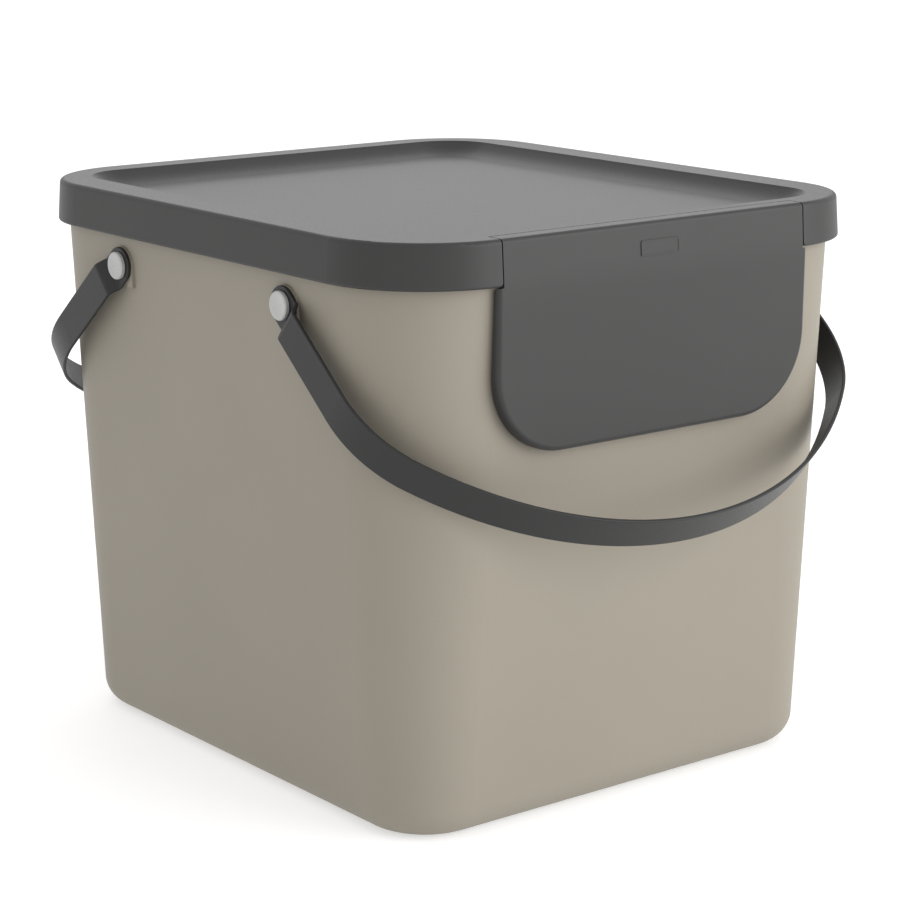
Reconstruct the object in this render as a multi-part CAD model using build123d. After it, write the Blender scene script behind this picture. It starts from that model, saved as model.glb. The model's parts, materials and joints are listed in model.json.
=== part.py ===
from build123d import *
import os
from math import acos, cos, radians, sin, sqrt, tan

# Forty-litre recycling bin: a drafted tub, a tray lid with a throw-in flap in its
# front edge, and two strap handles that turn on snap buttons.
# Millimetres. +Z is up, the flap is on the -Y side, the base stands on z = 0.

# Overall
bin_height = 340.0
lid_width = 358.0
lid_depth = 400.0
lid_corner = 66.5

# Lid
skirt_height = 25.5
skirt_draft = 1.7
lid_skin = 2.2
lid_top_round = 2.7
lid_lip_round = 1.4
lid_travel = 24.0
tray_side_rim = 25.0
tray_end_rim = 20.0
tray_corner = 32.0
tray_drop = 9.0
tray_slope = 45.0
tray_cove = 26.0

# Tub, its rim set in from the lid's skirt and its base drawn in from the rim
rim_side_inset = 5.05
rim_end_inset = 4.2
tub_rim_width = lid_width - 2 * rim_side_inset
tub_rim_depth = lid_depth - 2 * rim_end_inset
tub_rim_corner = 65.5
tub_side_taper = 15.75
tub_end_taper = 18.1
tub_base_width = lid_width - 2 * (rim_side_inset + tub_side_taper)
tub_base_depth = lid_depth - 2 * (rim_end_inset + tub_end_taper)
tub_base_corner = 42.2
tub_wall = 2.2
tub_base_round = 17.4
foot_rise = 1.6
foot_width = 7.0
bead_height = 4.5
bead_reach = 1.2
bead_drop = 11.0

# Flap and its hinge
flap_side_lap = 2.0
flap_half = lid_width / 2 - lid_corner + flap_side_lap
flap_hang = 95.0
flap_bottom = bin_height - skirt_height - flap_hang
flap_corner = 47.0
flap_skin = 2.2
flap_edge_round = 3.0
flap_setback = 1.3
flap_blend = 220.0
flap_shoulder = 3.8
seam_half = flap_half - flap_shoulder
seam_inset = 11.8
hinge_drop = 3.4
hinge_bar_radius = 3.2
hinge_pin_radius = 2.0
hinge_pin_reach = 6.0
hinge_block_width = 8.0
hinge_block_drop = 5.5
hinge_rail_wall = 2.0
hinge_rail_height = 8.0

# Throw-in opening in the front wall of the tub
mouth_side_cover = 11.5
mouth_bottom_cover = 15.0
mouth_corner = 36.0

# Strap handles and buttons
pivot_setback = 113.7
pivot_half_spacing = lid_depth / 2 - pivot_setback
pivot_drop = 18.3
pivot_height = bin_height - skirt_height - pivot_drop
strap_rest_angle = 50.0
strap_width = 22.0
strap_thickness = 2.2
strap_reach = 193.0
strap_top_spread = 45.6
strap_corner_radius = 75.0
strap_edge_round = 0.7
strap_bend = 3.0
strap_flare = 0.95
shank_radius = 4.0
head_radius = 8.25
head_thickness = 2.4
head_dish = 0.8
head_dish_half = 6.6
head_bevel = 0.6
head_margin = 0.95
barb_reach = 0.9
barb_taper = 0.4
barb_length = 3.0
barb_slot = 1.6
boss_radius = 11.5
boss_rise = 1.5
boss_tab_width = 6.0
boss_tab_reach = 12.5
boss_tab_offset = 8.5

# Clearances
part_gap = 0.3
seam_gap = 0.8
swing_gap = 0.4
channel_gap = 0.5
pin_clearance = 0.05
strap_bore_clearance = 0.08
button_fit = 0.05
button_play = 0.1
strap_lid_gap = 0.4

# Worked-out places
skirt_bottom = bin_height - skirt_height
tub_top = bin_height - lid_skin - part_gap
front_top_y = -(lid_depth / 2 - skirt_draft)
front_skirt_y = -lid_depth / 2
hinge_z = bin_height - hinge_drop
seam_y = front_top_y + seam_inset
hinge_y = seam_y - seam_gap - hinge_drop
lip_rear_y = hinge_y + hinge_drop
notch_half = seam_half + seam_gap
sweep_radius = sqrt(2) * hinge_drop
wall_slope = (tub_rim_depth - tub_base_depth) / 2 / tub_top
flap_wall_gap = swing_gap + lid_travel * wall_slope


def tub_outline(z, inset=0.0):
    """Rounded rectangle of the tub's wall at height z, moved in by inset."""
    share = z / tub_top
    width = tub_base_width + share * (tub_rim_width - tub_base_width) - 2 * inset
    depth = tub_base_depth + share * (tub_rim_depth - tub_base_depth) - 2 * inset
    corner = tub_base_corner + share * (tub_rim_corner - tub_base_corner) - inset
    return Pos(0, 0, z) * RectangleRounded(width, depth, corner)


def lid_outline(z, inset=0.0):
    """Rounded rectangle of the lid's skirt at height z, moved in by inset."""
    grow = skirt_draft * (z - skirt_bottom) / skirt_height + inset
    return Pos(0, 0, z) * RectangleRounded(lid_width - 2 * grow, lid_depth - 2 * grow, lid_corner - grow)


def wall_x(z):
    """Half-width of the tub's outer face at height z."""
    return (tub_base_width + (tub_rim_width - tub_base_width) * z / tub_top) / 2


def wall_front_y(z):
    """Place of the tub's front face at height z."""
    return -(tub_base_depth + (tub_rim_depth - tub_base_depth) * z / tub_top) / 2


def rod_x(radius, x0, x1, y, z):
    """Round bar along X from x0 to x1."""
    return Pos((x0 + x1) / 2, y, z) * Rot(0, 90, 0) * Cylinder(radius, abs(x1 - x0))


def block(x0, x1, y0, y1, z0, z1):
    """Rectangular block between two corners."""
    return Pos((x0 + x1) / 2, (y0 + y1) / 2, (z0 + z1) / 2) * Box(x1 - x0, y1 - y0, z1 - z0)


def low_edges(shape, z):
    """Edges of a shape that lie in the plane at height z."""
    found = []
    for edge in shape.edges():
        box = edge.bounding_box()
        if abs(box.min.Z - z) < 0.01 and abs(box.max.Z - z) < 0.01:
            found.append(edge)
    return found


strap_eye_x = wall_x(pivot_height) + boss_rise + part_gap
strap_leg_x = lid_width / 2 + strap_lid_gap
strap_top_radius = strap_leg_x + strap_top_spread
strap_leg_start = head_radius + head_margin + (strap_leg_x - strap_eye_x) * strap_flare
strap_eye_end = strap_leg_start + strap_bend / 2


def make_tub():
    """Thin-walled tub with a foot ring, rim bead, throw-in mouth and pivot bosses."""
    outer = loft([tub_outline(0), tub_outline(tub_top)], ruled=True)
    outer = fillet(low_edges(outer, 0), tub_base_round)
    bead_foot = tub_top - bead_drop - bead_height
    bead_levels = [(0, 0), (bead_reach, bead_reach), (bead_height - bead_reach, bead_reach), (bead_height, 0)]
    sections = [tub_outline(bead_foot + rise, -reach) for rise, reach in bead_levels]
    bead = loft(sections, ruled=True)
    block_half = notch_half + hinge_block_width + seam_gap
    bead -= block(-block_half, block_half, -lid_depth, 0, 0, bin_height)
    floor = foot_rise + tub_wall
    inner = loft([tub_outline(floor, tub_wall), tub_outline(tub_top + 1, tub_wall)], ruled=True)
    inner = fillet(low_edges(inner, floor), tub_base_round - tub_wall)
    tub = outer + bead
    for side_x in (-1, 1):
        for side_y in (-1, 1):
            tub += pivot_boss(side_x, side_y * pivot_half_spacing)
    tub -= inner
    foot_inset = tub_base_round + foot_width
    tub -= extrude(tub_outline(0, foot_inset), foot_rise)
    tub -= mouth_cut()
    for side_x in (-1, 1):
        for side_y in (-1, 1):
            hole = shank_radius + button_fit
            pivot_y = side_y * pivot_half_spacing
            start = side_x * (wall_x(pivot_height) - 2 * tub_wall)
            tub -= rod_x(hole, start, side_x * lid_width / 2, pivot_y, pivot_height)
    return tub


def pivot_boss(side_x, pivot_y):
    """Round pad under a strap eye, with a short tab below it on its front side."""
    face_x = wall_x(pivot_height) + boss_rise
    root_x = wall_x(pivot_height) - tub_wall
    pad = rod_x(boss_radius, side_x * root_x, side_x * face_x, pivot_y, pivot_height)
    tab_y = pivot_y - boss_tab_offset
    tab = Pos(side_x * (root_x + face_x) / 2, tab_y, pivot_height - boss_tab_reach / 2)
    return pad + tab * Box(face_x - root_x, boss_tab_width, boss_tab_reach)


def mouth_cut():
    """Cutter for the U-shaped mouth in the front wall, wider at the rim for the hinge blocks."""
    half = flap_half - mouth_side_cover
    bottom = flap_bottom + mouth_bottom_cover
    shelf = bin_height - lid_skin - hinge_block_drop - seam_gap
    block_half = notch_half + hinge_block_width + seam_gap
    mouth = Pos(0, (bottom + bin_height) / 2) * Rectangle(2 * half, bin_height - bottom)
    mouth = fillet(mouth.vertices().group_by(Axis.Y)[0], mouth_corner)
    notch = Pos(0, (shelf + bin_height) / 2) * Rectangle(2 * block_half, bin_height - shelf)
    profile = Plane.XZ * (mouth + notch)
    return Pos(0, -tub_base_depth / 4, 0) * extrude(profile, lid_depth / 2)


def tray_form(grow, depth, over):
    """Tapered tray shape with a coved floor edge, widened by grow, over its rim by over."""
    top_width = lid_width - 2 * skirt_draft - 2 * tray_side_rim + 2 * grow
    top_depth = lid_depth - 2 * skirt_draft - 2 * tray_end_rim + 2 * grow
    run = depth / tan(radians(tray_slope))
    rim = Pos(0, 0, bin_height) * RectangleRounded(top_width, top_depth, tray_corner + grow)
    floor_size = (top_width - 2 * run, top_depth - 2 * run, tray_corner + grow - run)
    base = Pos(0, 0, bin_height - depth) * RectangleRounded(*floor_size)
    form = loft([base, rim], ruled=True)
    form = fillet(low_edges(form, bin_height - depth), tray_cove - grow)
    if over > 0:
        form += Pos(0, 0, over / 2) * extrude(rim, over / 2, both=True)
    return form


def make_lid():
    """Tray lid: drafted skirt, sunken coved tray, front notch, hinge rail and blocks."""
    lid = loft([lid_outline(skirt_bottom), lid_outline(bin_height)], ruled=True)
    lid = fillet(low_edges(lid, bin_height), lid_top_round)
    lid = fillet(low_edges(lid, skirt_bottom), lid_lip_round)
    envelope = lid
    under = bin_height - lid_skin
    void = loft([lid_outline(skirt_bottom, lid_skin), lid_outline(under, lid_skin)], ruled=True)
    void -= tray_form(lid_skin, tray_drop + lid_skin, 0)
    lid -= void
    lid -= tray_form(0, tray_drop, lid_skin)
    rail_y = hinge_y + sweep_radius + seam_gap
    rail_low = under - hinge_rail_height
    block_half = notch_half + hinge_block_width
    rail = block(-block_half, block_half, rail_y, rail_y + hinge_rail_wall, rail_low, under + 1)
    block_low = under - hinge_block_drop
    front = front_skirt_y + lid_skin / 2
    for side in (-1, 1):
        inner_x, outer_x = sorted((side * notch_half, side * block_half))
        rail += block(inner_x, outer_x, front, rail_y + hinge_rail_wall, block_low, under + 1)
    lid += rail & envelope
    lid -= notch_cut()
    bore = hinge_pin_radius + pin_clearance
    bore_end = seam_half + hinge_pin_reach + seam_gap
    lid -= rod_x(bore, -bore_end, bore_end, hinge_y, hinge_z)
    return lid


def notch_cut():
    """Cutter for the flap's place in the front edge, with the channel that its lip turns in."""
    low = Pos(0, skirt_bottom - 10) * Rectangle(2 * lid_width, 20)
    high = Pos(0, bin_height) * Rectangle(2 * notch_half, 2 * skirt_height + 10)
    outline = low + high
    corners = []
    for vertex in outline.vertices():
        if abs(vertex.Y - skirt_bottom) < 0.01 and abs(abs(vertex.X) - notch_half) < 0.01:
            corners.append(vertex)
    outline = fillet(corners, flap_edge_round)
    cut = extrude(Plane.XZ.offset(-seam_y) * outline, lid_depth)
    keep_sides = block(-lid_width, lid_width, -lid_depth, seam_y, bin_height - 2 * skirt_height, bin_height + 10)
    cut = cut & keep_sides
    channel = rod_x(sweep_radius + channel_gap, -notch_half, notch_half, hinge_y, hinge_z)
    return cut + channel


def flap_side_profile(inset, top):
    """Side profile between the flap's front face, moved in by inset, and the tub's wall.

    Its back stays clear of the sloping wall while the lid carries the flap up by its travel.
    """
    low = flap_bottom - 5
    lean = skirt_draft / skirt_height
    fall = flap_setback / (skirt_bottom - flap_bottom)
    back_y = wall_front_y(tub_top) - swing_gap
    points = [
        (front_skirt_y + inset + lean * (top - skirt_bottom), top),
        (front_skirt_y + inset, skirt_bottom),
        (front_skirt_y + inset + fall * (skirt_bottom - low), low),
        (wall_front_y(low) - flap_wall_gap, low),
        (back_y, tub_top - lid_travel),
        (back_y, top),
    ]
    profile = make_face(Polyline(points, close=True))
    crease = profile.vertices().sort_by_distance((front_skirt_y + inset, skirt_bottom))[0]
    profile = fillet(crease, flap_blend)
    return extrude(Plane.YZ * profile, lid_width, both=True)


def flap_outline(inset, top):
    """Front outline of the flap: narrow between the skirt ends, wide and rounded below."""
    wide = Pos(0, (flap_bottom + skirt_bottom) / 2 + inset / 2)
    wide *= Rectangle(2 * (flap_half - inset), skirt_bottom - flap_bottom - inset)
    wide = fillet(wide.vertices().group_by(Axis.Y)[0], flap_corner - inset)
    narrow = Pos(0, (skirt_bottom + top) / 2) * Rectangle(2 * (seam_half - inset), top - skirt_bottom)
    return extrude(Plane.XZ * (wide + narrow), lid_depth)


def make_flap():
    """Dished flap with a lip over the lid's edge, a hinge bar and two stub pins."""
    flap = flap_outline(0, bin_height) & flap_side_profile(0, bin_height + 5)
    shoulder_radius = sqrt((front_skirt_y - hinge_y) ** 2 + (skirt_bottom - hinge_z) ** 2) + swing_gap
    outer_edges = []
    for edge in flap.edges():
        center = edge.center()
        box = edge.bounding_box()
        front = center.Y < wall_front_y(center.Z) - flap_wall_gap - flap_skin / 2
        flat = box.max.Y - box.min.Y < 2 * flap_skin
        cross = box.max.Z - box.min.Z < 0.01 and center.Z > flap_bottom + 1
        if front and flat and not cross and box.max.Z < skirt_bottom + 1:
            outer_edges.append(edge)
    flap = fillet(outer_edges, flap_edge_round)
    for side in (-1, 1):
        flap -= rod_x(shoulder_radius, side * seam_half, side * lid_width / 2, hinge_y, hinge_z)
    lip_front = front_top_y + flap_skin / 2
    lip_face = block(-seam_half, seam_half, lip_front, lip_rear_y, bin_height - lid_skin, bin_height)
    cavity_top = hinge_z - hinge_bar_radius
    flap -= flap_outline(flap_skin, cavity_top) & flap_side_profile(flap_skin, cavity_top)
    flap += lip_face
    top_front = flap.edges().filter_by(Axis.X).group_by(Axis.Z)[-1].sort_by(Axis.Y)[0]
    flap = fillet(top_front, lid_top_round)
    flap += rod_x(hinge_bar_radius, -seam_half, seam_half, hinge_y, hinge_z)
    pin_end = seam_half + hinge_pin_reach
    flap += rod_x(hinge_pin_radius, -pin_end, pin_end, hinge_y, hinge_z)
    return flap


def strap_band():
    """Flat outline of the strap seen square to its plane: x across, y down its reach."""
    half_skin = strap_thickness / 2
    eye_x = strap_eye_x + half_skin
    leg_x = strap_leg_x + half_skin
    flat_end = head_radius + head_margin
    leg_start = strap_leg_start
    corner_radius = strap_corner_radius - half_skin
    top_radius = strap_top_radius - half_skin
    top_centre = strap_reach - strap_top_radius
    corner_x = leg_x - corner_radius
    corner_y = top_centre + sqrt((top_radius - corner_radius) ** 2 - corner_x ** 2)
    scale = top_radius / (top_radius - corner_radius)
    join = (corner_x * scale, top_centre + (corner_y - top_centre) * scale)
    turn = acos(join[0] / top_radius)
    middle = (corner_x + corner_radius * cos(turn / 2), corner_y + corner_radius * sin(turn / 2))
    half = [
        Line((eye_x, -strap_width), (eye_x, flat_end)),
        Line((eye_x, flat_end), (leg_x, leg_start)),
        Line((leg_x, leg_start), (leg_x, corner_y)),
        ThreePointArc((leg_x, corner_y), middle, join),
    ]
    crown = ThreePointArc(join, (0, top_centre + top_radius), (-join[0], join[1]))
    path = (Curve() + half + [crown] + [mirror(edge, Plane.YZ) for edge in half]).wires()[0]
    bends = [v for v in path.vertices() if min(abs(v.Y - flat_end), abs(v.Y - leg_start)) < 0.01]
    path = path.fillet_2d(strap_bend, bends)
    return make_face(path.offset_2d(half_skin, side=Side.BOTH))


def make_strap():
    """Strap handle lying in the XY plane, its pivot axis on X: a bent band with round eyes."""
    strap = extrude(strap_band(), strap_width / 2, both=True)
    span = 2 * lid_width
    corner = Pos(0, -strap_width, 0) * Box(span, 2 * strap_width, 2 * strap_width)
    corner -= Rot(0, 90, 0) * Cylinder(strap_width / 2, span)
    strap -= corner
    rims = []
    for edge in strap.edges():
        start = edge.position_at(0)
        middle = edge.position_at(0.5)
        across = abs(start.X - middle.X) < 0.001 and start.Y < 0 and middle.Y < 0
        along = abs(abs(start.Z) - strap_width / 2) < 0.001 and abs(abs(middle.Z) - strap_width / 2) < 0.001
        if across or along:
            rims.append(edge)
    strap = fillet(rims, strap_edge_round)
    strap -= rod_x(shank_radius + strap_bore_clearance, -span / 2, span / 2, 0, 0)
    return strap


def strap_pieces():
    """The front strap at rest, as a bow and two eye ends that stop where the legs run straight."""
    strap = make_strap()
    span = 2 * lid_width
    eyes = Pos(0, strap_eye_end - strap_width, 0) * Box(span, 2 * strap_width, 2 * strap_width)
    left_half = Pos(-span / 4, 0, 0) * Box(span / 2, span, span)
    lean = radians(strap_rest_angle)
    rest = Plane(
        origin=(0, -pivot_half_spacing, pivot_height),
        x_dir=(1, 0, 0),
        z_dir=(0, cos(lean), -sin(lean)),
    ).location
    return {
        "": rest * (strap - eyes),
        "_eye_left": rest * (strap & eyes & left_half),
        "_eye_right": rest * ((strap & eyes) - left_half),
    }


def make_button(side_x, pivot_y):
    """Snap button: dished round head, shank through strap and wall, split barbed end."""
    head_x = strap_eye_x + strap_thickness + part_gap
    wall_inner = wall_x(pivot_height - shank_radius - barb_reach) - tub_wall
    barb_x = wall_inner - button_play
    end_x = barb_x - barb_length
    profile = make_face(Polyline([
        (0, end_x),
        (shank_radius - barb_taper, end_x),
        (shank_radius + barb_reach, barb_x),
        (shank_radius, barb_x),
        (shank_radius, head_x),
        (head_radius, head_x),
        (head_radius, head_x + head_thickness),
        (0, head_x + head_thickness),
    ], close=True))
    rim = profile.vertices().sort_by_distance((head_radius, head_x + head_thickness))[0]
    profile = chamfer(rim, head_bevel)
    button = revolve(Plane.XZ * profile, Axis.Z)
    dish_radius = (head_dish_half ** 2 + head_dish ** 2) / (2 * head_dish)
    button -= Pos(0, 0, head_x + head_thickness - head_dish + dish_radius) * Sphere(dish_radius)
    slot_end = wall_inner + tub_wall / 2
    button -= block(-barb_slot / 2, barb_slot / 2, -head_radius, head_radius, end_x - 1, slot_end)
    button = Pos(0, pivot_y, pivot_height) * Rot(0, 90 * side_x, 0) * button
    return button


parts = {
    "bin_body": make_tub(),
    "lid": make_lid(),
    "flap": make_flap(),
    "button_front_left": make_button(-1, -pivot_half_spacing),
    "button_front_right": make_button(1, -pivot_half_spacing),
    "button_rear_left": make_button(-1, pivot_half_spacing),
    "button_rear_right": make_button(1, pivot_half_spacing),
}
for suffix, piece in strap_pieces().items():
    parts[f"handle_front{suffix}"] = piece
    parts[f"handle_rear{suffix}"] = mirror(piece, Plane.XZ)

os.makedirs("parts", exist_ok=True)
for name, part in parts.items():
    part.label = name
    export_step(part, f"parts/{name}.step")
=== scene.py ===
import json
from math import radians

import bpy
from mathutils import Matrix, Vector

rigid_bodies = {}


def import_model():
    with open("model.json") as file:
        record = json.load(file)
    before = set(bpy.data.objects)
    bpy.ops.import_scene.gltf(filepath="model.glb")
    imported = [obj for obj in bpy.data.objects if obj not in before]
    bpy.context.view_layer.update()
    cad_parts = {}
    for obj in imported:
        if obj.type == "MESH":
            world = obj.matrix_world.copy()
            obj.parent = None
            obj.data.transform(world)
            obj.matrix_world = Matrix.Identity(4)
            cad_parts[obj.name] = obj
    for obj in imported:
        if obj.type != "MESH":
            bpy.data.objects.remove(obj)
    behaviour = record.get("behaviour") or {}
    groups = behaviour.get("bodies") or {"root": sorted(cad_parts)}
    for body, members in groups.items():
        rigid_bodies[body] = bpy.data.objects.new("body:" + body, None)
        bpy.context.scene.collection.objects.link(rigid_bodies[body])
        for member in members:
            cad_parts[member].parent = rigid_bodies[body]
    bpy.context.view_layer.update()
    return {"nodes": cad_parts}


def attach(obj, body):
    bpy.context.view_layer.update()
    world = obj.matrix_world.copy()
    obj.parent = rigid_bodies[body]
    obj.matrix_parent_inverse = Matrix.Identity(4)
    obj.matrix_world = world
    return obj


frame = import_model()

nodes = frame["nodes"]

# The camera stands left of the bin's front edge and a little above its lid, with a long
# lens. Its place and turn were solved from the edges of the lid and the tub.
camera_place = Vector((-0.9777, -1.2718, 0.5522))
camera_turn = radians(37.82)
camera_dip = radians(13.35)
camera_roll = radians(-0.11)
camera_data = bpy.data.cameras.new("camera")
camera_data.lens = 105.3
camera_data.sensor_width = 36.0
camera_data.clip_end = 50.0
camera = bpy.data.objects.new("camera", camera_data)
bpy.context.scene.collection.objects.link(camera)
heading = Matrix.Rotation(-camera_turn, 4, "Z")
tilt = Matrix.Rotation(radians(90) - camera_dip, 4, "X")
roll = Matrix.Rotation(camera_roll, 4, "Z")
camera.matrix_world = Matrix.Translation(camera_place) @ heading @ tilt @ roll
bpy.context.scene.camera = camera

# The studio is a white room: an even pale sky, a wide softbox in front on the right, one
# behind that glances off the lid's top, and a pale floor that glows a little by itself.
scene = bpy.context.scene
scene.view_settings.view_transform = "Standard"
scene.view_settings.look = "None"
sky = bpy.data.worlds.new("pale_sky")
sky.use_nodes = True
sky.node_tree.nodes["Background"].inputs["Color"].default_value = (1.0, 1.0, 1.0, 1.0)
sky.node_tree.nodes["Background"].inputs["Strength"].default_value = 1.0
scene.world = sky


def softbox(name, place, aim, size, power):
    """Square area light at place, turned to shine on aim."""
    light = bpy.data.lights.new(name, "AREA")
    light.size = size
    light.energy = power
    lamp = bpy.data.objects.new(name, light)
    scene.collection.objects.link(lamp)
    lamp.location = place
    lamp.rotation_euler = (Vector(aim) - Vector(place)).to_track_quat("-Z", "Y").to_euler()


softbox("rear_softbox", place=(1.5, 2.0, 1.5), aim=(0.0, 0.0, 0.3), size=1.6, power=8.0)
softbox("right_softbox", place=(1.3, -2.2, 0.9), aim=(0.0, 0.0, 0.2), size=2.2, power=50.0)


def deselect_all():
    """Clears the selection, which the frame's import leaves full."""
    for item in bpy.context.view_layer.objects:
        item.select_set(False)


floor_side = 12.0
deselect_all()
bpy.ops.mesh.primitive_plane_add(size=floor_side, location=(0.0, 0.0, 0.0))
floor = bpy.context.active_object
floor.name = "floor"
floor_finish = bpy.data.materials.new("pale_floor")
floor_finish.use_nodes = True
floor_shader = floor_finish.node_tree.nodes["Principled BSDF"]
floor_shader.inputs["Base Color"].default_value = (0.60, 0.60, 0.597, 1.0)
floor_shader.inputs["Roughness"].default_value = 0.9
floor_shader.inputs["Emission Color"].default_value = (1.0, 1.0, 1.0, 1.0)
floor_shader.inputs["Emission Strength"].default_value = 0.5
floor.data.materials.append(floor_finish)


# The tub is one injection moulding in warm grey-beige polypropylene. The mould was spark
# eroded, so its skin has a fine even grain, and flow in the mould leaves faint broad clouds.
def moulded_plastic(name, colour, cloud, roughness, grain_size, grain_depth, shine):
    """Matt moulded plastic: clouded colour, grained bump, roughness that follows the grain."""
    noise_low, noise_high = 0.3, 0.7
    cloud_repeats = 9.0
    rough_spread = 0.05
    darkest = tuple(part * (1.0 - cloud) for part in colour) + (1.0,)
    lightest = tuple(part * (1.0 + cloud) for part in colour) + (1.0,)
    finish = bpy.data.materials.new(name)
    finish.use_nodes = True
    tree = finish.node_tree
    shader = tree.nodes["Principled BSDF"]
    shader.inputs["IOR"].default_value = 1.49
    shader.inputs["Specular IOR Level"].default_value = shine
    place = tree.nodes.new("ShaderNodeTexCoord")
    clouds = tree.nodes.new("ShaderNodeTexNoise")
    clouds.inputs["Scale"].default_value = cloud_repeats
    clouds.inputs["Detail"].default_value = 3.0
    tree.links.new(place.outputs["Object"], clouds.inputs["Vector"])
    shade = tree.nodes.new("ShaderNodeValToRGB")
    shade.color_ramp.elements[0].position = noise_low
    shade.color_ramp.elements[1].position = noise_high
    shade.color_ramp.elements[0].color = darkest
    shade.color_ramp.elements[1].color = lightest
    tree.links.new(clouds.outputs["Fac"], shade.inputs["Fac"])
    tree.links.new(shade.outputs["Color"], shader.inputs["Base Color"])
    grain = tree.nodes.new("ShaderNodeTexNoise")
    grain.inputs["Scale"].default_value = 1.0 / grain_size
    grain.inputs["Detail"].default_value = 2.0
    tree.links.new(place.outputs["Object"], grain.inputs["Vector"])
    bump = tree.nodes.new("ShaderNodeBump")
    bump.inputs["Strength"].default_value = 0.35
    bump.inputs["Distance"].default_value = grain_depth
    tree.links.new(grain.outputs["Fac"], bump.inputs["Height"])
    tree.links.new(bump.outputs["Normal"], shader.inputs["Normal"])
    rough = tree.nodes.new("ShaderNodeMapRange")
    rough.inputs["From Min"].default_value = noise_low
    rough.inputs["From Max"].default_value = noise_high
    rough.inputs["To Min"].default_value = roughness - rough_spread
    rough.inputs["To Max"].default_value = roughness + rough_spread
    tree.links.new(grain.outputs["Fac"], rough.inputs["Value"])
    tree.links.new(rough.outputs["Result"], shader.inputs["Roughness"])
    return finish


def give_finish(node, finish):
    """Puts one finish on every material slot of a node of the frame."""
    slots = nodes[node].material_slots
    if not slots:
        nodes[node].data.materials.append(finish)
    for slot in nodes[node].material_slots:
        slot.material = finish


tub_plastic = moulded_plastic(
    "tub_plastic", (0.243, 0.219, 0.178), cloud=0.02, roughness=0.55,
    grain_size=0.0006, grain_depth=0.00012, shine=0.4)
give_finish("bin_body", tub_plastic)

# Under the base a low round gate mark shows where the plastic was let into the mould. It
# stands in the foot ring's recess, so the ring still carries the bin.
gate_radius = 0.004
gate_height = 0.0008
gate_bevel = gate_height * 0.2
gate_level = 0.0016
deselect_all()
bpy.ops.mesh.primitive_cylinder_add(vertices=32, radius=gate_radius, depth=gate_height)
gate_mark = bpy.context.active_object
gate_mark.name = "base_gate_mark"
bpy.ops.object.mode_set(mode="EDIT")
bpy.ops.mesh.select_all(action="SELECT")
bpy.ops.mesh.bevel(offset=gate_bevel, segments=2, affect="EDGES")
bpy.ops.object.mode_set(mode="OBJECT")
gate_mark.location = (0.0, 0.0, gate_level - gate_bevel)
bpy.ops.object.transform_apply(location=True, rotation=True, scale=True)
gate_mark.data.materials.append(tub_plastic)
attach(gate_mark, "bin")

# The lid and its flap are moulded in anthracite polypropylene, a little smoother than the
# tub, with a satin sheen on the tray where the light grazes it.
lid_plastic = moulded_plastic(
    "lid_plastic", (0.030, 0.030, 0.0295), cloud=0.03, roughness=0.46,
    grain_size=0.0007, grain_depth=0.00010, shine=0.32)
give_finish("lid", lid_plastic)
give_finish("flap", lid_plastic)

# A small bare plate is moulded on the flap near its top edge, in one with it. It is a low
# rounded rectangle with a raised frame round a plain sunk field.
plate_width = 0.028
plate_height = 0.0086
plate_corner = 0.0012
plate_rise = 0.0005
plate_frame = 0.0007
field_depth = 0.0002
flap_face_y = -0.19927
plate_level = 0.3255
face_lean = radians(3.8)
deselect_all()
bpy.ops.mesh.primitive_plane_add(size=1.0)
plate = bpy.context.active_object
plate.name = "flap_plate"
plate.scale = (plate_width, plate_height, 1.0)
bpy.ops.object.transform_apply(location=False, rotation=False, scale=True)
bpy.ops.object.mode_set(mode="EDIT")
bpy.ops.mesh.select_all(action="SELECT")
bpy.ops.mesh.bevel(offset=plate_corner, segments=5, affect="VERTICES")
bpy.ops.mesh.extrude_region_move(TRANSFORM_OT_translate={"value": (0.0, 0.0, 2 * plate_rise)})
bpy.ops.mesh.inset(thickness=plate_frame)
bpy.ops.mesh.extrude_region_move(TRANSFORM_OT_translate={"value": (0.0, 0.0, -field_depth)})
bpy.ops.object.mode_set(mode="OBJECT")
plate.rotation_euler = (radians(90) - face_lean, 0.0, 0.0)
plate.location = (0.0, flap_face_y + plate_rise, plate_level)
bpy.ops.object.transform_apply(location=True, rotation=True, scale=True)
plate.data.materials.append(lid_plastic)
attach(plate, "flap")

# The straps are soft, dark polypropylene, smooth and slightly shiny. Each is one band whose
# round ends sit under the buttons.
strap_plastic = moulded_plastic(
    "strap_plastic", (0.019, 0.019, 0.019), cloud=0.04, roughness=0.42,
    grain_size=0.0009, grain_depth=0.00008, shine=0.3)
for end in ("front", "rear"):
    for part in ("", "_eye_left", "_eye_right"):
        give_finish(f"handle_{end}{part}", strap_plastic)

# The four snap buttons are light grey plastic with a dished face and a bevelled rim. They
# pin the strap eyes to the tub.
button_plastic = moulded_plastic(
    "button_plastic", (0.385, 0.385, 0.381), cloud=0.02, roughness=0.30,
    grain_size=0.0008, grain_depth=0.00005, shine=0.5)
for end in ("front", "rear"):
    for side in ("left", "right"):
        give_finish(f"button_{end}_{side}", button_plastic)
